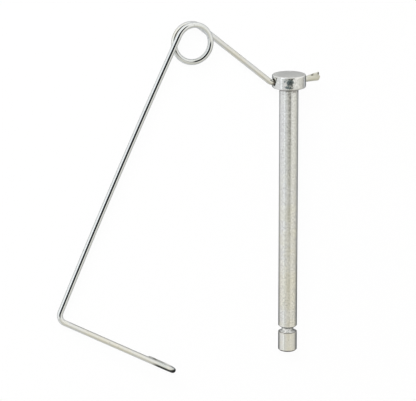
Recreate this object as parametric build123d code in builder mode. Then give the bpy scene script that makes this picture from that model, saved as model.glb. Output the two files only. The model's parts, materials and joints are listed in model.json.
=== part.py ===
"""Coupling pin: a headed steel pin kept in its hole by a sprung wire keeper that swings in its head.

The origin is on the pin's axis at the underside of the head. It all lies as it comes to rest on a
table: the pin along Y on the rims of its head and its tip, the tip towards -Y, and the keeper out
towards -X on the back of its coil and of its hook. The keeper has a flattened tail and an upper leg
on either side of the head, a coil, a long leg, and a bent leg whose end hook snaps round the groove
near the pin's tip when the coil is squeezed shut.
"""

import os
from math import atan2, cos, degrees, radians, sin, sqrt

from build123d import *

os.makedirs("parts", exist_ok=True)

# ---- driving sizes, mm and degrees -------------------------------------------------------------
shank_d = 6.35             # quarter inch bar
grip = 82.9                # underside of the head to the groove
nose = 6.6                 # plain end below the groove
head_d = 11.3
head_web = 0.94            # metal left above and below the cross hole
wire_d = 1.87
coil_inner_d = 10.42
upper_leg_run = 30.9       # straight part between the head and the coil
bent_leg_run = 40.55       # straight part between the corner and the hook
hook_return = 4.7          # straight end of the hook, behind the bent leg
upper_leg_angle = 39.9     # slope of the upper leg above the cross hole
long_leg_angle = 118.55    # slope of the long leg where it leaves the coil
bow_angle = 2.4            # slow curve along the long leg
corner_angle = 86.6        # bend between the long and the bent leg
nip_slope = 24             # each jaw of the cutter on the tail's end
rest_swing = 4.31          # keeper swung up from the pin, where its coil and its hook lie on the table
rest_roll = 6.5            # pin rolled down to the keeper's side by then

# ---- clearances and small sizes, mm ------------------------------------------------------------
hole_play = 0.315          # radial, wire in the cross hole
mouth_gap = 0.15           # side of the head to the first bend and to the flattened tail
coil_gap = 0.9             # between neighbouring turns of the coil
hook_play = 0.35           # radial, hook round the neck of the groove
head_round = 0.5
mouth_chamfer = 0.15
tip_chamfer = 0.4
rim_break = 0.3            # upper rim of the groove
knee_r = 2.2               # inner bends, measured to the wire's centre line
corner_r = 2.8
coil_steps = 14            # guide points along the coil

# ---- derived -----------------------------------------------------------------------------------
shank_r = shank_d / 2
head_r = head_d / 2
wire_r = wire_d / 2
hole_r = wire_r + hole_play
hinge_z = hole_r + head_web                    # cross hole at half the height of the head
head_t = 2 * hinge_z
groove_w = 1.22 * wire_d                       # mouth of the groove wider than the wire
groove_flank = 0.29 * groove_w                 # steep upper side of the groove, its rim broken
groove_floor = 0.48 * groove_w                 # its plain neck; the rest is the sloping lower side
neck_r = shank_r - 0.61 * wire_d
under_head = grip + groove_w + nose
coil_r = coil_inner_d / 2 + wire_r
coil_angle = 540 - long_leg_angle + upper_leg_angle
coil_advance = (wire_d + coil_gap) * coil_angle / 360
hook_r = neck_r + hook_play + wire_r
tail_h = 1.42 * wire_d                         # flattened tail, wider than the hole it came through
tail_t = 0.6 * wire_d
tail_lift = 0.24 * wire_d
tail_run = 2.9 * wire_d
rest_pitch = degrees(atan2(head_r - shank_r, under_head - tip_chamfer + head_round))

# the pin as it lies: local x along the cross hole, local y up the pin to its head, local z off the table
lying = Plane.XY.rotated((rest_pitch, -rest_roll, 0))
pin_axis = Axis(lying.origin, lying.y_dir)
hinge_point = lying.origin + hinge_z * lying.y_dir

# ---- headed pin: turned from bar in one piece, then cross-drilled through the head ---------------
with BuildPart() as headed_pin:
    with BuildSketch(lying):
        with BuildLine():
            Polyline(
                (0, head_t),
                (head_r, head_t),
                (head_r, 0),
                (shank_r, 0),
                (shank_r, -grip),
                (shank_r - rim_break, -grip - rim_break),
                (neck_r, -grip - groove_flank),
                (neck_r, -grip - groove_flank - groove_floor),
                (shank_r, -grip - groove_w),
                (shank_r, -under_head),
                (0, -under_head),
                close=True,
            )
        make_face()
    revolve(axis=pin_axis)
    rims = headed_pin.edges().filter_by(GeomType.CIRCLE).group_by(lambda rim: round(rim.radius, 3))
    fillet(rims[-1], head_round)
    tip_face = headed_pin.faces().sort_by(pin_axis)[0]
    chamfer(tip_face.edges(), tip_chamfer)
    with BuildSketch(Plane(hinge_point, z_dir=lying.x_dir)):
        Circle(hole_r)
    extrude(amount=head_d, both=True, mode=Mode.SUBTRACT)
    chamfer(headed_pin.edges(Select.LAST), mouth_chamfer)

headed_pin.part.label = "headed_pin"
export_step(headed_pin.part, "parts/headed_pin.step")

# ---- wire keeper: one length of round spring wire, wound and bent cold ---------------------------
swing = radians(rest_swing)
along = lying.x_dir
upward = cos(swing) * lying.y_dir - sin(swing) * lying.z_dir
forward = along.cross(upward)
hinge_plane = Plane(hinge_point, x_dir=along, z_dir=forward)
front_plane = hinge_plane.offset(coil_advance)
tail_root = head_r + mouth_gap


def heading(angle):
    """Unit vector in the keeper's plane, in degrees counted up from the cross hole."""
    return cos(radians(angle)) * along + sin(radians(angle)) * upward


with BuildPart() as wire_keeper:
    # through the head and out to the coil
    with BuildLine(hinge_plane) as back_run:
        pivot = Line((tail_root, 0), (-head_r - mouth_gap, 0))
        knee = JernArc(pivot @ 1, pivot % 1, radius=knee_r, arc_size=-upper_leg_angle)
        upper_leg = Line(knee @ 1, knee @ 1 + upper_leg_run * (knee % 1))

    # the coil winds forward, and eases flat where the legs leave it
    coil_centre = upper_leg @ 1 + coil_r * forward.cross(upper_leg % 1)
    turns = []
    for step in range(coil_steps + 1):
        wound = step / coil_steps
        around = coil_r * heading(90 - upper_leg_angle + coil_angle * wound)
        turns.append(coil_centre + around + coil_advance * wound * forward)
    long_leg_way = heading(-long_leg_angle)
    with BuildLine() as coil:
        Spline(*turns, tangents=(upper_leg % 1, long_leg_way), tangent_scalars=(1, 1))

    # the hook has to be as far from the coil as the groove is, so that it closes into the groove:
    # the long leg's length follows from that, with the corner and the bent leg already counted
    groove_middle = hinge_plane.origin - (hinge_z + grip + groove_flank + groove_floor / 2) * upward
    coil_to_groove = (coil_centre - groove_middle).length
    bow_chord = heading(-long_leg_angle + bow_angle / 2)
    corner_chord = 2 * corner_r * sin(radians(corner_angle / 2)) * heading(
        -long_leg_angle + bow_angle + corner_angle / 2
    )
    bent_way = heading(-long_leg_angle + bow_angle + corner_angle)
    counted = coil_r * heading(-long_leg_angle - 90) + corner_chord + bent_leg_run * bent_way
    ahead = counted.dot(bow_chord)
    long_chord = sqrt(coil_to_groove**2 - counted.length**2 + ahead**2) - ahead
    bow_r = long_chord / (2 * sin(radians(bow_angle / 2)))
    with BuildLine(front_plane) as front_run:
        long_leg = JernArc(turns[-1], long_leg_way, radius=bow_r, arc_size=bow_angle)
        corner = JernArc(long_leg @ 1, long_leg % 1, radius=corner_r, arc_size=corner_angle)
        bent_leg = Line(corner @ 1, corner @ 1 + bent_leg_run * (corner % 1))

    # the hook turns back behind the bent leg, round the space that the neck will fill
    hook_way = bent_leg % 1
    hook_plane = Plane(origin=bent_leg @ 1, x_dir=hook_way, z_dir=forward.cross(hook_way))
    with BuildLine(hook_plane) as hook:
        hook_turn = JernArc((0, 0), (1, 0), radius=hook_r, arc_size=180)
        Line(hook_turn @ 1, hook_turn @ 1 + hook_return * (hook_turn % 1))

    with BuildSketch(Plane(origin=pivot @ 0, z_dir=pivot % 0)):
        Circle(wire_r)
    sweep(path=Wire(back_run.edges() + coil.edges() + front_run.edges() + hook.edges()))

    # tail hammered flat and nipped off, so that the wire can't draw back through the head
    root_plane = Plane(origin=hinge_plane.origin + tail_root * along, x_dir=-forward, z_dir=along)
    with BuildSketch(root_plane):
        Circle(wire_r)
    with BuildSketch(root_plane.offset(0.3 * tail_run)):
        with Locations((0, 0.1 * tail_lift)):
            Ellipse(0.9 * wire_r, 1.08 * wire_r)
    with BuildSketch(root_plane.offset(0.65 * tail_run)):
        with Locations((0, 0.7 * tail_lift)):
            Ellipse(0.55 * tail_t, 0.49 * tail_h)
    with BuildSketch(root_plane.offset(tail_run)):
        with Locations((0, tail_lift)):
            Ellipse(0.5 * tail_t, 0.5 * tail_h)
    loft()
    tail_point = root_plane.origin + tail_run * along + tail_lift * upward
    for nip_angle in (-nip_slope, nip_slope):
        split(bisect_by=Plane(tail_point, z_dir=heading(nip_angle)), keep=Keep.BOTTOM)

wire_keeper.part.label = "wire_keeper"
export_step(wire_keeper.part, "parts/wire_keeper.step")
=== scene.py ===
"""A coupling pin: a headed, zinc-plated steel pin with a swinging wire keeper, lying on a pale table."""

import json
from math import cos, pi, radians, sin, tau

import bmesh
import bpy
from mathutils import Euler, Matrix, Vector


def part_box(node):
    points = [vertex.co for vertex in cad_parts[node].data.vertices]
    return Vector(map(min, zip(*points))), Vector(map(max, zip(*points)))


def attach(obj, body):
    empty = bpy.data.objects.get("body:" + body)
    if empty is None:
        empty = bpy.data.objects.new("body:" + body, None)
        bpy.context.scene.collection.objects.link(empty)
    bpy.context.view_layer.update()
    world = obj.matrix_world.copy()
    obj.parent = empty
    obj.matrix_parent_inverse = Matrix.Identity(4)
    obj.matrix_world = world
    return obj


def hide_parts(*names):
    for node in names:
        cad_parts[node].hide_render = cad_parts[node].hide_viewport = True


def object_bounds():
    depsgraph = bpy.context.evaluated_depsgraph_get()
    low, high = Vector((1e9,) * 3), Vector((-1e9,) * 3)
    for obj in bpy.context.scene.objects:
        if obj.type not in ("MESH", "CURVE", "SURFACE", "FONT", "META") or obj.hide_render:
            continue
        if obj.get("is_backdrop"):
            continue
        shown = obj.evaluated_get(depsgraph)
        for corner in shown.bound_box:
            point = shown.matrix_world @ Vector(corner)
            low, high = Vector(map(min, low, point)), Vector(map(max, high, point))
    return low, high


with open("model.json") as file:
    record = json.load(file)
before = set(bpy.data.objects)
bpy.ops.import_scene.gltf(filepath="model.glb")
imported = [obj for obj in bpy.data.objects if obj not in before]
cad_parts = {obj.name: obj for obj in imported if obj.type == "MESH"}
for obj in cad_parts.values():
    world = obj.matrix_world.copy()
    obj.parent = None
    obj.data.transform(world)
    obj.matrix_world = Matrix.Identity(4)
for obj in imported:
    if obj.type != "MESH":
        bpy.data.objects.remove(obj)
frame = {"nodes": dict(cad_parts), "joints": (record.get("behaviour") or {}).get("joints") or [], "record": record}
cad_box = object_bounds()
mm = 0.001

# ---- Headed pin ----------------------------------------------------------------------------------
# Turned from quarter inch bar in one piece and cross-drilled through its head, then barrel-plated
# with zinc. Its CAD shape stays, and gets the plate's bloom, pits and turning marks, the wear on its
# rims with a painted highlight on them, painted shade in its groove, its cross hole and under its head, and a
# painted dark reflection on its head's side and along its outline.
joint = frame["joints"][0]
mounts = {mount["name"]: mount for mount in frame["record"]["mounts"]}
shank = mounts["shank"]
cross_hole = -Vector(joint["axis"]).normalized()               # towards the tail
pin_up = -Vector(shank["axis"]).normalized()                   # towards the head
pin_front = cross_hole.cross(pin_up)
hinge = Vector(joint["pos_m"])

# sizes for the masks, in millimetres, and levels, counted up from the underside of the head
shank_r = shank["dims"]["r_mm"]
head_r = 5.65
hole_r = 1.25
groove_w = 2.28
hinge_level = hinge.length / mm
head_top = 2 * hinge_level
groove_top = -shank["dims"]["length_mm"]
groove_foot = groove_top - groove_w
tip_level = -Vector(mounts["tip_face"]["pos_m"]).length / mm


def add(tree, kind, inputs=None, **settings):
    """Adds a node. An input is given by its name or number: a value, or the socket that feeds it."""
    node = tree.nodes.new("ShaderNode" + kind)
    for name, value in settings.items():
        setattr(node, name, value)
    for name, value in (inputs or {}).items():
        if isinstance(value, bpy.types.NodeSocket):
            tree.links.new(value, node.inputs[name])
        else:
            node.inputs[name].default_value = value
    return node


def maths(tree, operation, first, second=0.0, third=0.0):
    """The result of one sum on masks or plain numbers."""
    return add(tree, "Math", {0: first, 1: second, 2: third}, operation=operation).outputs[0]


def product(tree, first, *others):
    """The share where all the masks meet."""
    for other in others:
        first = maths(tree, "MULTIPLY", first, other)
    return first


def largest(tree, first, *others):
    """The masks laid over each other."""
    for other in others:
        first = maths(tree, "MAXIMUM", first, other)
    return first


def adjusted(tree, level, *changes):
    """A level that each mask raises or lowers by its own amount."""
    for mask, amount in changes:
        level = maths(tree, "MULTIPLY_ADD", mask, amount, level)
    return level


def step(tree, value, start, end, low=0.0, high=1.0):
    """A smooth step from low at start to high at end."""
    inputs = {"Value": value, "From Min": start, "From Max": end, "To Min": low, "To Max": high}
    return add(tree, "MapRange", inputs, interpolation_type="SMOOTHSTEP").outputs[0]


def stretch(tree, value, start, full, fade, finish):
    """The mask of a stretch: it comes in from start to full, and goes out from fade to finish."""
    return product(tree, step(tree, value, start, full), step(tree, value, finish, fade))


def vector_maths(tree, operation, first, second=(0.0, 0.0, 0.0)):
    """The result of one sum on places: a number for a length or a distance, and otherwise a place."""
    node = add(tree, "VectorMath", {0: first, 1: second}, operation=operation)
    return node.outputs["Value" if operation in ("LENGTH", "DISTANCE") else "Vector"]


def noise(tree, place, scale, detail, roughness=0.5):
    """Soft noise between 0 and 1."""
    inputs = {"Vector": place, "Scale": scale, "Detail": detail, "Roughness": roughness}
    return add(tree, "TexNoise", inputs).outputs[0]


def blend_colours(tree, share, first, second, blend_type="MIX"):
    """The second colour over the first, by its share."""
    inputs = {"Factor": share, "A": first, "B": second}
    return add(tree, "Mix", inputs, data_type="RGBA", blend_type=blend_type).outputs["Result"]


def tinted(tree, colour, *tints):
    """A colour with tints laid over it in turn, each by its mask and its strength."""
    for mask, strength, tint in tints:
        colour = blend_colours(tree, product(tree, mask, strength), colour, tint)
    return colour


def finish_steel(tree, steel, colour, rough, relief, relief_depth):
    """Gives the steel its colour, its roughness and its relief."""
    bump = add(tree, "Bump", {"Strength": 1.0, "Distance": relief_depth, "Height": relief})
    for name, socket in (("Base Color", colour), ("Roughness", rough), ("Normal", bump.outputs[0])):
        tree.links.new(socket, steel.inputs[name])


# the zinc plate itself: cloudy bloom between two tints, crystal grain, and a few pits
plate = bpy.data.node_groups.new("zinc_plate", "ShaderNodeTree")
for name, kind, usual in (
    ("Place", "NodeSocketVector", (0.0, 0.0, 0.0)),
    ("Cool", "NodeSocketColor", (0.7, 0.7, 0.7, 1.0)),
    ("Warm", "NodeSocketColor", (0.7, 0.7, 0.7, 1.0)),
    ("Cloud Scale", "NodeSocketFloat", 0.2),
    ("Grain Scale", "NodeSocketFloat", 2.5),
    ("Grain Depth", "NodeSocketFloat", 0.1),
    ("Pits", "NodeSocketFloat", 1.0),
    ("Polish", "NodeSocketFloat", 0.3),
):
    socket = plate.interface.new_socket(name, in_out="INPUT", socket_type=kind)
    socket.default_value = usual
for name, kind in (
    ("Colour", "NodeSocketColor"),
    ("Roughness", "NodeSocketFloat"),
    ("Height", "NodeSocketFloat"),
):
    plate.interface.new_socket(name, in_out="OUTPUT", socket_type=kind)
given = plate.nodes.new("NodeGroupInput").outputs
result = plate.nodes.new("NodeGroupOutput").inputs
pit_colour = (0.10, 0.095, 0.08, 1.0)

place = given["Place"]
clouds = step(plate, noise(plate, place, given["Cloud Scale"], 3.0, 0.6), 0.36, 0.64)
grain = step(plate, noise(plate, place, given["Grain Scale"], 2.0, 0.6), 0.28, 0.72, -1.0, 1.0)
swell = noise(plate, place, 0.9, 1.0)
pit_gap = add(plate, "TexVoronoi", {"Vector": place, "Scale": 0.9}).outputs["Distance"]
pitted = step(plate, noise(plate, place, 0.6, 1.0), 0.50, 0.58)
pits = product(plate, step(plate, pit_gap, 0.16, 0.07), pitted, given["Pits"])
level = adjusted(plate, 1.0, (grain, given["Grain Depth"]))
level = add(plate, "CombineXYZ", {0: level, 1: level, 2: level}).outputs[0]
colour = blend_colours(plate, clouds, given["Cool"], given["Warm"])
colour = blend_colours(plate, 1.0, colour, level, "MULTIPLY")
colour = blend_colours(plate, pits, colour, pit_colour)
plate.links.new(colour, result["Colour"])
rough = adjusted(plate, given["Polish"], (clouds, 0.07), (grain, 0.03), (pits, 0.3))
plate.links.new(rough, result["Roughness"])
height = adjusted(plate, grain, (clouds, 2.0), (swell, 6.0), (pits, -2.0))
plate.links.new(height, result["Height"])

pin_zinc = bpy.data.materials.new("turned_zinc")
pin_zinc.use_nodes = True
tree = pin_zinc.node_tree
steel = tree.nodes["Principled BSDF"]
steel.inputs["Specular Tint"].default_value = (0.12, 0.13, 0.14, 1.0)
cool_zinc = (0.83, 0.84, 0.85, 1.0)
pale_zinc = (0.85, 0.865, 0.85, 1.0)
warm_zinc = (0.89, 0.875, 0.79, 1.0)
# painted light among these: a painted highlight over rubbed metal, painted shade for the groove, the outline and
# the hollows, and a painted dark reflection for the head's side
rubbed_highlight_zinc = (0.96, 0.96, 0.94, 1.0)
groove_shade_colour = (0.42, 0.44, 0.41, 1.0)
outline_shade_colour = (0.25, 0.26, 0.26, 1.0)
painted_shade_colour = (0.085, 0.065, 0.045, 1.0)
head_reflection_colour = (0.13, 0.20, 0.225, 1.0)

# the pin's own directions, in millimetres: across the hole, up the pin, and off the table
turn = Matrix((cross_hole, pin_up, pin_front)).to_euler()
own = add(tree, "TexCoord").outputs["Object"]
own = add(tree, "Mapping", {"Vector": own, "Rotation": turn, "Scale": [1 / mm] * 3}).outputs[0]
across, up, off = add(tree, "SeparateXYZ", {0: own}).outputs
radius = vector_maths(tree, "LENGTH", vector_maths(tree, "MULTIPLY", own, (1.0, 0.0, 1.0)))
ragged = noise(tree, own, 1.1, 3.0, 0.65)

# the head's side and the nose are burnished, the shank is satin, and the head's top and the groove are
# duller; the plate turns warmer down the shank
on_head = step(tree, up, -0.4, 0.0)
on_top = step(tree, up, head_top - 0.35, head_top - 0.05)
on_nose = step(tree, up, groove_foot + 0.1, groove_foot - 0.4)
in_groove = product(
    tree,
    step(tree, radius, shank_r - 0.03, shank_r - 0.15),
    stretch(tree, up, groove_foot - 0.3, groove_foot, groove_top, 0.0),
)
polish = adjusted(tree, 0.16, (on_head, -0.05), (on_top, 0.26), (in_groove, 0.30), (on_nose, -0.07))
plate_inputs = {
    "Place": own,
    "Cool": blend_colours(tree, step(tree, up, -20, -75, 0.0, 0.35), cool_zinc, warm_zinc),
    "Warm": blend_colours(tree, step(tree, up, -15, -65), pale_zinc, warm_zinc),
    "Cloud Scale": 0.16,
    "Grain Scale": 1.9,
    "Grain Depth": step(tree, up, groove_foot, groove_foot - 0.5, 0.12, 0.05),
    "Pits": 0.8,
    "Polish": polish,
}
zinc = add(tree, "Group", plate_inputs, node_tree=plate)

# turning marks: rings along the pin, and circles on its flat faces
rings = add(tree, "CombineXYZ", {0: radius, 1: up}).outputs[0]
rings = noise(tree, rings, 5.0, 2.0)

# rims rubbed bright, with a painted highlight on them
worn_and_highlit = 0.0
for rim_level, rim_r in (
    (head_top, head_r),
    (0.0, head_r),
    (groove_top, shank_r),
    (tip_level, shank_r),
):
    rim_gap = maths(tree, "ABSOLUTE", maths(tree, "SUBTRACT", up, rim_level))
    near_rim = product(tree, step(tree, rim_gap, 0.55, 0.15), step(tree, radius, rim_r - 0.45, rim_r - 0.15))
    worn_and_highlit = largest(tree, worn_and_highlit, near_rim)

# painted shade round the mouth of the cross hole, in the corner under the head, in the neck of the groove
# and round the rim of its cone, and a painted dark reflection on the chamfer of the tip
hole_gap = add(tree, "CombineXYZ", {1: maths(tree, "SUBTRACT", up, hinge_level), 2: off}).outputs[0]
hole_gap = adjusted(tree, vector_maths(tree, "LENGTH", hole_gap), (ragged, -0.9))
in_hole = step(tree, hole_gap, hole_r - 0.30, hole_r - 0.75)
near_shank = product(tree, step(tree, radius, shank_r + 0.8, shank_r + 0.2), step(tree, up, 0.5, 0.2))
ragged_shade = product(tree, step(tree, up, -2.6, -0.9), step(tree, ragged, 0.50, 0.60))
in_corner = product(tree, largest(tree, step(tree, up, -1.15, -0.6), ragged_shade), near_shank)
neck_gap = maths(tree, "ABSOLUTE", maths(tree, "SUBTRACT", up, groove_top - 0.55))
in_neck = product(tree, step(tree, neck_gap, 0.3, 0.1), step(tree, radius, shank_r - 0.2, shank_r - 0.8))
on_cone_rim = product(
    tree,
    in_groove,
    step(tree, radius, shank_r - 0.5, shank_r - 0.3),
    step(tree, up, groove_foot + 0.4, groove_foot + 0.2),
)
on_chamfer = step(tree, up, tip_level + 0.56, tip_level + 0.38)
painted_shade = largest(
    tree,
    in_hole,
    product(tree, in_corner, 0.65),
    product(tree, in_neck, 0.5),
    product(tree, on_cone_rim, 0.6),
    product(tree, on_chamfer, 0.9),
)

# a painted dark reflection on the head's side, in two blotches
head_reflection = 0.0
for reflection_place, reflection_size in (
    ((-2.25, 2.55, 5.15), (1.25, 0.90, 1.4)),
    ((-2.50, 0.96, 5.06), (1.20, 0.38, 1.4)),
):
    gap = vector_maths(tree, "DIVIDE", vector_maths(tree, "SUBTRACT", own, reflection_place), reflection_size)
    gap = adjusted(tree, vector_maths(tree, "LENGTH", gap), (maths(tree, "SUBTRACT", ragged, 0.5), 4.0))
    head_reflection = largest(tree, head_reflection, step(tree, gap, 1.25, 0.75))

# painted shade along the outline: more of it down the shank, on the shank's far side and on the nose
facing = add(tree, "LayerWeight", {"Blend": 0.5}).outputs["Facing"]
far_side = product(tree, step(tree, across, 1.0, 2.6), step(tree, up, 0.0, -0.5), 0.45)
outline_shade_zone = largest(tree, step(tree, up, -15, -88, 0.0, 0.85), far_side, on_nose)
outline = product(tree, step(tree, facing, 0.3, 0.75), outline_shade_zone)

# rubbed metal and a painted highlight on the rims, a painted highlight on the head's top and over the groove,
# and over them painted shade in patches in the groove, along the outline and in the hollows, and a painted dark
# reflection on the head's side
bright = largest(tree, product(tree, worn_and_highlit, 0.6), product(tree, on_top, 0.9), in_groove)
# painted shade in patches in the groove
groove_shade = product(tree, in_groove, step(tree, ragged, 0.53, 0.46))
colour = tinted(
    tree,
    zinc.outputs["Colour"],
    (bright, 1.0, rubbed_highlight_zinc),
    (groove_shade, 0.8, groove_shade_colour),
    (outline, 1.0, outline_shade_colour),
    (painted_shade, 1.0, painted_shade_colour),
    (head_reflection, 0.85, head_reflection_colour),
)
metal = adjusted(tree, 1.0, (in_groove, -0.7), (on_top, -0.08))
tree.links.new(metal, steel.inputs["Metallic"])
rough = adjusted(tree, zinc.outputs["Roughness"], (worn_and_highlit, -0.04), (painted_shade, 0.3))
relief = adjusted(tree, zinc.outputs["Height"], (rings, 0.8))
finish_steel(tree, steel, colour, rough, relief, 0.0023 * mm)

pin = frame["nodes"]["headed_pin"]
pin.data.materials.clear()
pin.data.materials.append(pin_zinc)

# ---- Wire keeper ---------------------------------------------------------------------------------
# One length of drawn spring wire, plated bright before it was bent. It goes through the head's cross
# hole, winds a turn and a quarter of coil, and runs down to the corner and along to the hook. Its tail
# was hammered flat and nipped off with cutters, and its hook bent round with toothed jaws.
wire_r = 0.935 * mm
wire_sides = 36
mouth_gap = 0.15 * mm             # side of the head to the tail and to the first bend
mouth = head_r * mm + mouth_gap
coil_gap = 0.9 * mm               # between neighbouring turns
knee_r = 2.2 * mm
corner_r = 2.8 * mm
coil_r = 6.145 * mm
hook_r = 3.32 * mm                # round the neck of the groove, with a little play
upper_leg_run = 30.9 * mm
long_leg_run = 96.975 * mm        # so that the hook closes into the groove
bent_leg_run = 40.55 * mm
hook_return = 4.7 * mm
upper_leg_angle = 39.9
long_leg_angle = 118.55
bow_angle = 2.4
corner_angle = 86.6
rest_swing = radians(4.31)
coil_angle = 540 - long_leg_angle + upper_leg_angle
coil_advance = (2 * wire_r + coil_gap) * coil_angle / 360
bow_r = long_leg_run / radians(bow_angle)
cut_round = 0.12 * mm

swung_up = cos(rest_swing) * pin_up - sin(rest_swing) * pin_front
swung_front = cross_hole.cross(swung_up)


def heading(angle):
    """The way that lies at an angle above the cross hole, in the keeper's plane."""
    return cos(radians(angle)) * cross_hole + sin(radians(angle)) * swung_up


root = Matrix((swung_up, swung_front, cross_hole)).transposed().to_4x4()
root.translation = hinge + mouth * cross_hole
wire = bmesh.new()
drawn = wire.verts.layers.float_vector.new("drawn")     # place on the wire as if it were still straight
ring = bmesh.ops.create_circle(wire, radius=wire_r, segments=wire_sides, matrix=root)["verts"]
root_edges = wire.edges[:]
for vertex in ring:
    vertex[drawn] = (root.inverted() @ vertex.co) / mm

# the open end of the wire, as far as it is drawn
end = {"edges": root_edges, "place": root.translation.copy(), "way": -cross_hole, "length": 0.0}


def edges_of(made):
    """The edges among the parts that an operator has just made."""
    return [part for part in made if isinstance(part, bmesh.types.BMEdge)]


def ring_of(made):
    """The vertices, and the edges between them, that an operator has just made."""
    verts = {part for part in made if isinstance(part, bmesh.types.BMVert)}
    return verts, [edge for edge in edges_of(made) if verts.issuperset(edge.verts)]


def note_length(first, run, steps):
    """Writes on each new ring how far along the wire it lies, in millimetres."""
    wire.verts.ensure_lookup_table()
    for count in range(first, len(wire.verts)):
        vertex = wire.verts[count]
        share = ((count - first) // wire_sides + 1) / steps
        vertex[drawn] = (vertex[drawn].x, vertex[drawn].y, (end["length"] + share * run) / mm)
    end["length"] += run


def draw_on(run, steps):
    """Draws the open end of the wire straight on."""
    first = len(wire.verts)
    for _ in range(steps):
        made = bmesh.ops.extrude_edge_only(wire, edges=end["edges"])["geom"]
        verts, end["edges"] = ring_of(made)
        bmesh.ops.translate(wire, verts=list(verts), vec=end["way"] * run / steps)
    end["place"] += run * end["way"]
    note_length(first, run, steps)


def bend_on(radius, axis, angle, steps, advance=0.0):
    """Bends the open end round the axis, and carries it along the axis as well."""
    first = len(wire.verts)
    side = axis.cross(end["way"]) * (1 if angle > 0 else -1)
    centre = end["place"] + radius * side
    made = bmesh.ops.spin(
        wire,
        geom=end["edges"],
        cent=centre,
        axis=axis,
        angle=radians(angle),
        steps=steps,
        dvec=axis * advance / steps,
        use_merge=False,
    )["geom_last"]
    end["edges"] = ring_of(made)[1]
    turned = Matrix.Rotation(radians(angle), 3, axis)
    end["place"] = centre + turned @ (end["place"] - centre) + advance * axis
    end["way"] = turned @ end["way"]
    note_length(first, radius * radians(abs(angle)), steps)


# from the tail's root through the head, and on to the cut end of the hook
draw_on(2 * mouth, steps=8)
bend_on(knee_r, swung_front, -upper_leg_angle, steps=8)
draw_on(upper_leg_run, steps=12)
coil_start = end["length"] / mm
bend_on(coil_r, swung_front, coil_angle, steps=102, advance=coil_advance)
bend_on(bow_r, swung_front, bow_angle, steps=24)
bend_on(corner_r, swung_front, corner_angle, steps=14)
corner_finish = end["length"] / mm
draw_on(bent_leg_run, steps=16)
hook_start = end["length"] / mm
bend_on(hook_r, swung_front.cross(end["way"]), 180, steps=30)
draw_on(hook_return, steps=3)
bmesh.ops.edgeloop_fill(wire, edges=end["edges"])
bmesh.ops.bevel(
    wire, geom=end["edges"], offset=cut_round, segments=2, profile=0.5, affect="EDGES", material=-1
)

# the tail: hammered flat and wide, a little upwards, then nipped off from both sides
tail_run = 5.423 * mm
tail_lift = 0.449 * mm
tail_steps = 14
flat_from = 0.72                  # share of the tail's run after which it is as flat as it gets
widened = 0.42
thinned = 0.40
nip_slope = 24
tail_edges = root_edges
flat_before = root.copy()
for count in range(1, tail_steps + 1):
    share = count / tail_steps
    flat = min(share / flat_from, 1.0)
    flat = flat * flat * (3 - 2 * flat)
    shape = Matrix.Translation((tail_lift * flat, 0, share * tail_run)) @ Matrix.Diagonal(
        (1 + widened * flat, 1 - thinned * flat, 1, 1)
    )
    verts, tail_edges = ring_of(bmesh.ops.extrude_edge_only(wire, edges=tail_edges)["geom"])
    bmesh.ops.transform(wire, matrix=root @ shape @ flat_before.inverted(), verts=list(verts))
    flat_before = root @ shape
    for vertex in verts:
        vertex[drawn] = (vertex[drawn].x, vertex[drawn].y, -share * tail_run / mm)
tail_point = root @ Vector((tail_lift, 0, tail_run))
for nip in (-nip_slope, nip_slope):
    cut = bmesh.ops.bisect_plane(
        wire,
        geom=wire.verts[:] + wire.edges[:] + wire.faces[:],
        dist=1e-7,
        plane_co=tail_point,
        plane_no=heading(nip),
        clear_outer=True,
    )["geom_cut"]
    bmesh.ops.edgeloop_fill(wire, edges=edges_of(cut))


def press(spot, reach, move):
    """Moves the tail's skin near a spot; all in millimetres: up, front and out from its root."""
    for vertex in wire.verts:
        gap = ((root.inverted() @ vertex.co) / mm - Vector(spot)).length / reach
        if gap < 1:
            local = root.to_3x3() @ Vector(move)
            vertex.co += local * mm * (1 - gap * gap) ** 2


press((1.35, 0.3, 2.5), 0.8, (-0.32, 0, 0))        # bruise from the cutters' jaw
press((1.7, 0.2, 4.9), 0.7, (0.34, 0, 0.16))       # burr on the upper corner
press((1.0, 0.3, 5.2), 0.45, (0, 0, -0.3))         # notch beside the burr
press((-0.7, 0.4, 5.1), 0.6, (-0.1, 0, -0.15))     # lower corner, pushed down and back
bmesh.ops.recalc_face_normals(wire, faces=wire.faces[:])
for face in wire.faces:
    face.smooth = len(face.verts) == 4
    if len(face.verts) > 8:                        # a cut end, whose rim stays sharp
        for edge in face.edges:
            edge.smooth = False

keeper_mesh = bpy.data.meshes.new("spring_wire_keeper")
wire.to_mesh(keeper_mesh)
wire.free()
keeper = bpy.data.objects.new("spring_wire_keeper", keeper_mesh)
bpy.context.scene.collection.objects.link(keeper)

keeper_zinc = bpy.data.materials.new("drawn_wire_zinc")
keeper_zinc.use_nodes = True
tree = keeper_zinc.node_tree
steel = tree.nodes["Principled BSDF"]
steel.inputs["Metallic"].default_value = 1.0
steel.inputs["Specular Tint"].default_value = (0.14, 0.15, 0.16, 1.0)
wire_cool = (0.87, 0.89, 0.90, 1.0)
wire_warm = (0.89, 0.88, 0.81, 1.0)
long_leg_warm = (0.86, 0.885, 0.885, 1.0)
own = add(tree, "TexCoord").outputs["Object"]
own = add(tree, "Mapping", {"Vector": own, "Scale": [1 / mm] * 3}).outputs[0]

# places on the straight wire, in millimetres: out from the coil, to the front, and along from the tail
straight = add(tree, "Attribute", attribute_name="drawn").outputs["Vector"]
rim_x, rim_y, along = add(tree, "SeparateXYZ", {0: straight}).outputs

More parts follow.
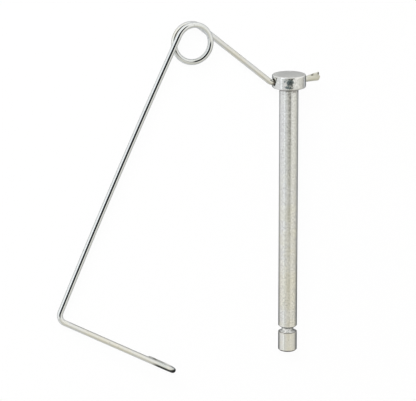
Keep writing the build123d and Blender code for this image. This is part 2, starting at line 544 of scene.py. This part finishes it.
# the tail's hammered skin is dull and creamy, and the coil and the long leg are cool and bright
on_tail = step(tree, along, 0.3, -0.8)
on_long = stretch(tree, along, coil_start + 10.0, coil_start + 18.0, corner_finish - 3.0, corner_finish + 1.0)
plate_inputs = {
    "Place": own,
    "Cool": wire_cool,
    "Warm": blend_colours(tree, on_long, wire_warm, long_leg_warm),
    "Cloud Scale": 0.14,
    "Grain Scale": 2.4,
    "Grain Depth": 0.04,
    "Pits": 0.5,
    "Polish": adjusted(tree, 0.02, (on_tail, 0.24)),
}
zinc = add(tree, "Group", plate_inputs, node_tree=plate)

# draw lines: fine scores along the wire
scores = noise(tree, vector_maths(tree, "MULTIPLY", straight, (1.0, 1.0, 0.03)), 3.5, 2.0)

# jaw marks across the wire just before the hook
tooth_pitch = 0.62
jaw_marks = product(tree, adjusted(tree, along, (rim_x, 0.5)), tau / tooth_pitch)
jaw_marks = maths(tree, "SINE", jaw_marks)
gripped = product(
    tree,
    stretch(tree, along, hook_start - 5.0, hook_start - 4.2, hook_start - 1.2, hook_start - 0.4),
    step(tree, rim_y, 0.2, 0.5),
)
jaw_marks = product(tree, step(tree, jaw_marks, 0.1, 0.8), gripped)

# a painted dark reflection on the underside of the hook, round where it was gripped and turned
round_end = step(tree, along, hook_start, hook_start + 2.8, 0.0, 0.95)
hook_dark_reflection = product(
    tree,
    step(tree, maths(tree, "ADD", rim_x, round_end), 0.08, 0.45),
    stretch(tree, along, hook_start - 6.8, hook_start - 3.8, hook_start + 5.0, hook_start + 7.0),
)

# painted brown shade on the coil's back turn, behind the front one
turn_shade_gap = maths(tree, "ABSOLUTE", adjusted(tree, maths(tree, "SUBTRACT", rim_x, 0.35), (scores, 0.5)))
turn_shade = product(
    tree,
    stretch(tree, along, coil_start + 1.0, coil_start + 5.0, coil_start + 13.0, coil_start + 17.0),
    step(tree, turn_shade_gap, 0.5, 0.15),
)

# bare, dark bruises on the hammered tail and on the end of the hook
bruised = 0.0
for spot, reach in (
    ((0.85, 0.3, -2.6), 0.6),
    ((0.55, 0.6, -4.9), 0.5),
    ((-0.6, 0.5, -5.0), 0.4),
    ((-0.6, -0.7, hook_start + 13.2), 0.8),
):
    gap = maths(tree, "SUBTRACT", vector_maths(tree, "DISTANCE", straight, spot), 0.6)
    bruised = largest(tree, bruised, step(tree, adjusted(tree, gap, (scores, 1.2)), reach, reach - 0.3))

# painted shade where the wire goes through the head, on the upper leg and on the return strand, and a
# painted dark reflection along the upper side of the bent leg
head_far_side = 2 * mouth / mm
in_head = stretch(tree, along, -0.3, 0.6, head_far_side - 0.1, head_far_side + 0.9)
upper_leg_shade = step(tree, along, coil_start, coil_start - 6.0)
return_strand_shade = step(tree, along, hook_start + 8.0, hook_start + 10.5)
on_bent = stretch(tree, along, corner_finish, corner_finish + 3.0, hook_start - 3.0, hook_start)
bent_leg_dark_reflection = product(tree, on_bent, step(tree, rim_x, -0.50, -0.75))

# over the plate: the tail's cream, painted shade and painted dark reflections, the grip and its jaw marks, and the
# bruises
colour = tinted(
    tree,
    zinc.outputs["Colour"],
    (on_tail, 0.6, (0.80, 0.79, 0.66, 1.0)),
    (upper_leg_shade, 0.15, (0.42, 0.41, 0.37, 1.0)),
    (in_head, 0.8, (0.12, 0.095, 0.07, 1.0)),
    (turn_shade, 0.7, (0.38, 0.28, 0.15, 1.0)),
    (bent_leg_dark_reflection, 0.4, (0.22, 0.21, 0.20, 1.0)),
    (return_strand_shade, 0.55, (0.30, 0.31, 0.30, 1.0)),
    (gripped, 0.5, (0.60, 0.66, 0.65, 1.0)),
    (jaw_marks, 0.8, (0.96, 0.97, 0.96, 1.0)),
    (hook_dark_reflection, 0.93, (0.03, 0.035, 0.035, 1.0)),
    (bruised, 0.75, (0.10, 0.09, 0.075, 1.0)),
)
rough = adjusted(tree, zinc.outputs["Roughness"], (scores, 0.03), (in_head, 0.3))
relief = adjusted(tree, zinc.outputs["Height"], (scores, 1.5), (jaw_marks, 3.0))
finish_steel(tree, steel, colour, rough, relief, 0.001 * mm)
keeper_mesh.materials.append(keeper_zinc)

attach(keeper, "keeper")
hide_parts("wire_keeper")

# ---- Table ---------------------------------------------------------------------------------------
# A wide, thin board, level with the lowest point of the pin and its keeper, and almost as clear as glass
# over white. It keeps the soft shadow of what lies on it, and shows a keeper that swings below it.
table_z = min(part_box("headed_pin")[0].z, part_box("wire_keeper")[0].z)
table_half = 3.0
table_white = (0.93, 0.93, 0.925, 1.0)
table_clear = 0.96         # share of the white beyond that the eye sees; the rest is the lit board
table_mirrored = 0.45      # share of plain white in what the steel mirrors

board = bmesh.new()
bmesh.ops.create_grid(board, size=table_half, matrix=Matrix.Translation((0, 0, table_z)))
table_mesh = bpy.data.meshes.new("table")
board.to_mesh(table_mesh)
board.free()
table = bpy.data.objects.new("table", table_mesh)
bpy.context.scene.collection.objects.link(table)

table_paint = bpy.data.materials.new("table_white")
table_paint.use_nodes = True
tree = table_paint.node_tree
tree.nodes.clear()
rays = add(tree, "LightPath").outputs
lit = add(tree, "BsdfDiffuse", {"Color": table_white})
glow = add(tree, "Emission", {"Color": (1.0, 1.0, 1.0, 1.0), "Strength": 1.0})
clear = add(tree, "BsdfTransparent")
share = product(tree, rays["Is Glossy Ray"], table_mirrored)
both = add(tree, "MixShader", {0: share, 1: lit.outputs[0], 2: glow.outputs[0]})
share = product(tree, rays["Is Camera Ray"], table_clear)
both = add(tree, "MixShader", {0: share, 1: both.outputs[0], 2: clear.outputs[0]})
add(tree, "OutputMaterial", {"Surface": both.outputs[0]})
table_mesh.materials.append(table_paint)
table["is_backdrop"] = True

# ---- Studio --------------------------------------------------------------------------------------
# A pale room, cool on the left and warm on the right, with a dark blind over the pin, which a flap makes
# wider on its right. Round steel shows the blind as a dark band between two bright ones. A low soft box
# stands on the left, and a lamp beyond it, on the head's side, casts the soft shadow.
blind_across = (           # lean from straight up towards the right wall, degrees; level; tint
    (-90, 0.90, (0.98, 0.99, 1.0)),
    (-84, 1.00, (0.98, 0.99, 1.0)),
    (-70, 0.72, (0.97, 0.99, 1.0)),
    (-57, 0.26, (0.93, 0.97, 1.0)),
    (-40, 0.04, (0.85, 0.97, 1.0)),
    (-24, 0.01, (0.80, 1.0, 1.0)),
    (-8, 0.01, (0.80, 1.0, 1.0)),
    (0, 0.89, (1.0, 0.985, 0.95)),
    (30, 0.89, (1.0, 0.985, 0.94)),
    (60, 0.82, (1.0, 0.985, 0.94)),
    (90, 0.56, (1.0, 0.985, 0.95)),
)
open_walls = (             # lean from straight up towards the head's side; level; tint
    (-90, 0.42, (1.0, 0.99, 0.96)),
    (-24, 0.64, (1.0, 0.99, 0.96)),
    (10, 0.88, (1.0, 1.0, 0.98)),
    (26, 0.98, (0.98, 0.99, 1.0)),
    (90, 0.90, (0.98, 0.99, 1.0)),
)
sides = (                  # what the open walls gain or lose from side to side
    (-90, 1.50, (0.96, 0.99, 1.0)),
    (-80, 1.35, (0.96, 0.99, 1.0)),
    (-64, 1.15, (0.98, 0.99, 0.99)),
    (-30, 1.12, (1.0, 0.985, 0.91)),
    (20, 1.12, (1.0, 0.985, 0.91)),
    (60, 1.08, (1.0, 0.985, 0.93)),
    (90, 1.00, (1.0, 0.985, 0.95)),
)
# share of the open walls past the blind's two ends, and shares of the flap both ways
blind_along = ((-19, 1.0), (-17.5, 0.80), (-16, 0.50), (-14, 0.12), (-12, 0.0), (46, 0.0), (58, 1.0))
flap_across = ((-12, 0.0), (-4, 1.0), (8, 1.0), (14, 0.0))
flap_along = ((-9, 0.0), (-6, 1.0), (46, 1.0), (58, 0.0))
flap_black = (0.01, 0.01, 0.01, 1.0)
board_share = 0.3          # how much of the room lights the board, against the lamp

world = bpy.data.worlds.new("studio")
world.use_nodes = True
bpy.context.scene.world = world
tree = world.node_tree
way = add(tree, "TexCoord").outputs["Generated"]
way_x, way_y, way_z = add(tree, "SeparateXYZ", {0: way}).outputs


def curtain(value, stops):
    """A colour that changes with how far a direction leans from straight up."""
    lean = maths(tree, "ARCTAN2", value, way_z)
    ramp = add(tree, "ValToRGB", {0: maths(tree, "MULTIPLY_ADD", lean, 1 / pi, 0.5)})
    marks = ramp.color_ramp.elements
    marks.remove(marks[1])
    marks[0].position = 0.5 + stops[0][0] / 180
    for lean_angle, _ in stops[1:]:
        marks.new(0.5 + lean_angle / 180)
    for mark, (_, colour) in zip(marks, stops):
        mark.color = (*colour, 1.0)
    return ramp.outputs["Color"]


blind, beyond, gain = [
    curtain(value, [(lean, [level * part for part in tint]) for lean, level, tint in stops])
    for value, stops in ((way_x, blind_across), (way_y, open_walls), (way_x, sides))
]
past_ends, flap_x, flap_y = [
    curtain(value, [(lean, [level] * 3) for lean, level in stops])
    for value, stops in ((way_y, blind_along), (way_x, flap_across), (way_y, flap_along))
]
beyond = blend_colours(tree, 1.0, beyond, gain, "MULTIPLY")
walls = blend_colours(tree, past_ends, blind, beyond)
walls = blend_colours(tree, product(tree, flap_x, flap_y), walls, flap_black)
room = tree.nodes["Background"]
tree.links.new(walls, room.inputs["Color"])
rays = add(tree, "LightPath").outputs
dimmed = adjusted(tree, 1.0, (rays["Is Diffuse Ray"], board_share - 1))
tree.links.new(dimmed, room.inputs["Strength"])
plain = add(tree, "Background", {"Color": (1.0, 1.0, 1.0, 1.0), "Strength": 1.0})
both = add(tree, "MixShader", {0: rays["Is Camera Ray"], 1: room.outputs[0], 2: plain.outputs[0]})
tree.links.new(both.outputs[0], tree.nodes["World Output"].inputs["Surface"])

lit_spot = Vector((-0.03, -0.04, 0.0))
for name, energy, size, tint, spot, mirrored in (
    ("left_softbox", 0.16, (0.9, 0.14), (0.97, 0.985, 1.0), (-0.9, -0.05, 0.075), True),
    ("table_lamp", 8.0, (0.45, 0.45), (1.0, 1.0, 1.0), (-0.55, 0.5, 0.55), False),
):
    lamp = bpy.data.lights.new(name, "AREA")
    lamp.shape = "RECTANGLE"
    lamp.size, lamp.size_y = size
    lamp.energy = energy
    lamp.color = tint
    stand = bpy.data.objects.new(name, lamp)
    stand.location = spot
    stand.rotation_euler = (Vector(spot) - lit_spot).to_track_quat("Z", "Y").to_euler()
    stand.visible_glossy = mirrored
    bpy.context.scene.collection.objects.link(stand)

# ---- Camera --------------------------------------------------------------------------------------
# It looks steeply down on the lying pin from its head's side, so that the top of the head shows, and
# holds the head at the top of the view.
lens = bpy.data.cameras.new("camera")
lens.sensor_width = 36.0
lens.lens = 216.35
camera = bpy.data.objects.new("camera", lens)
camera_place = Vector((-0.42244, 0.16645, 0.69602))
camera_turn = Euler([radians(angle) for angle in (-13.604, -29.549, -1.064)])
camera.matrix_world = Matrix.LocRotScale(camera_place, camera_turn, None)
bpy.context.scene.collection.objects.link(camera)
bpy.context.scene.camera = camera
bpy.context.scene.view_settings.view_transform = "Standard"

size = {"cad": [list(corner) for corner in cad_box], "visual": [list(corner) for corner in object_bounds()]}
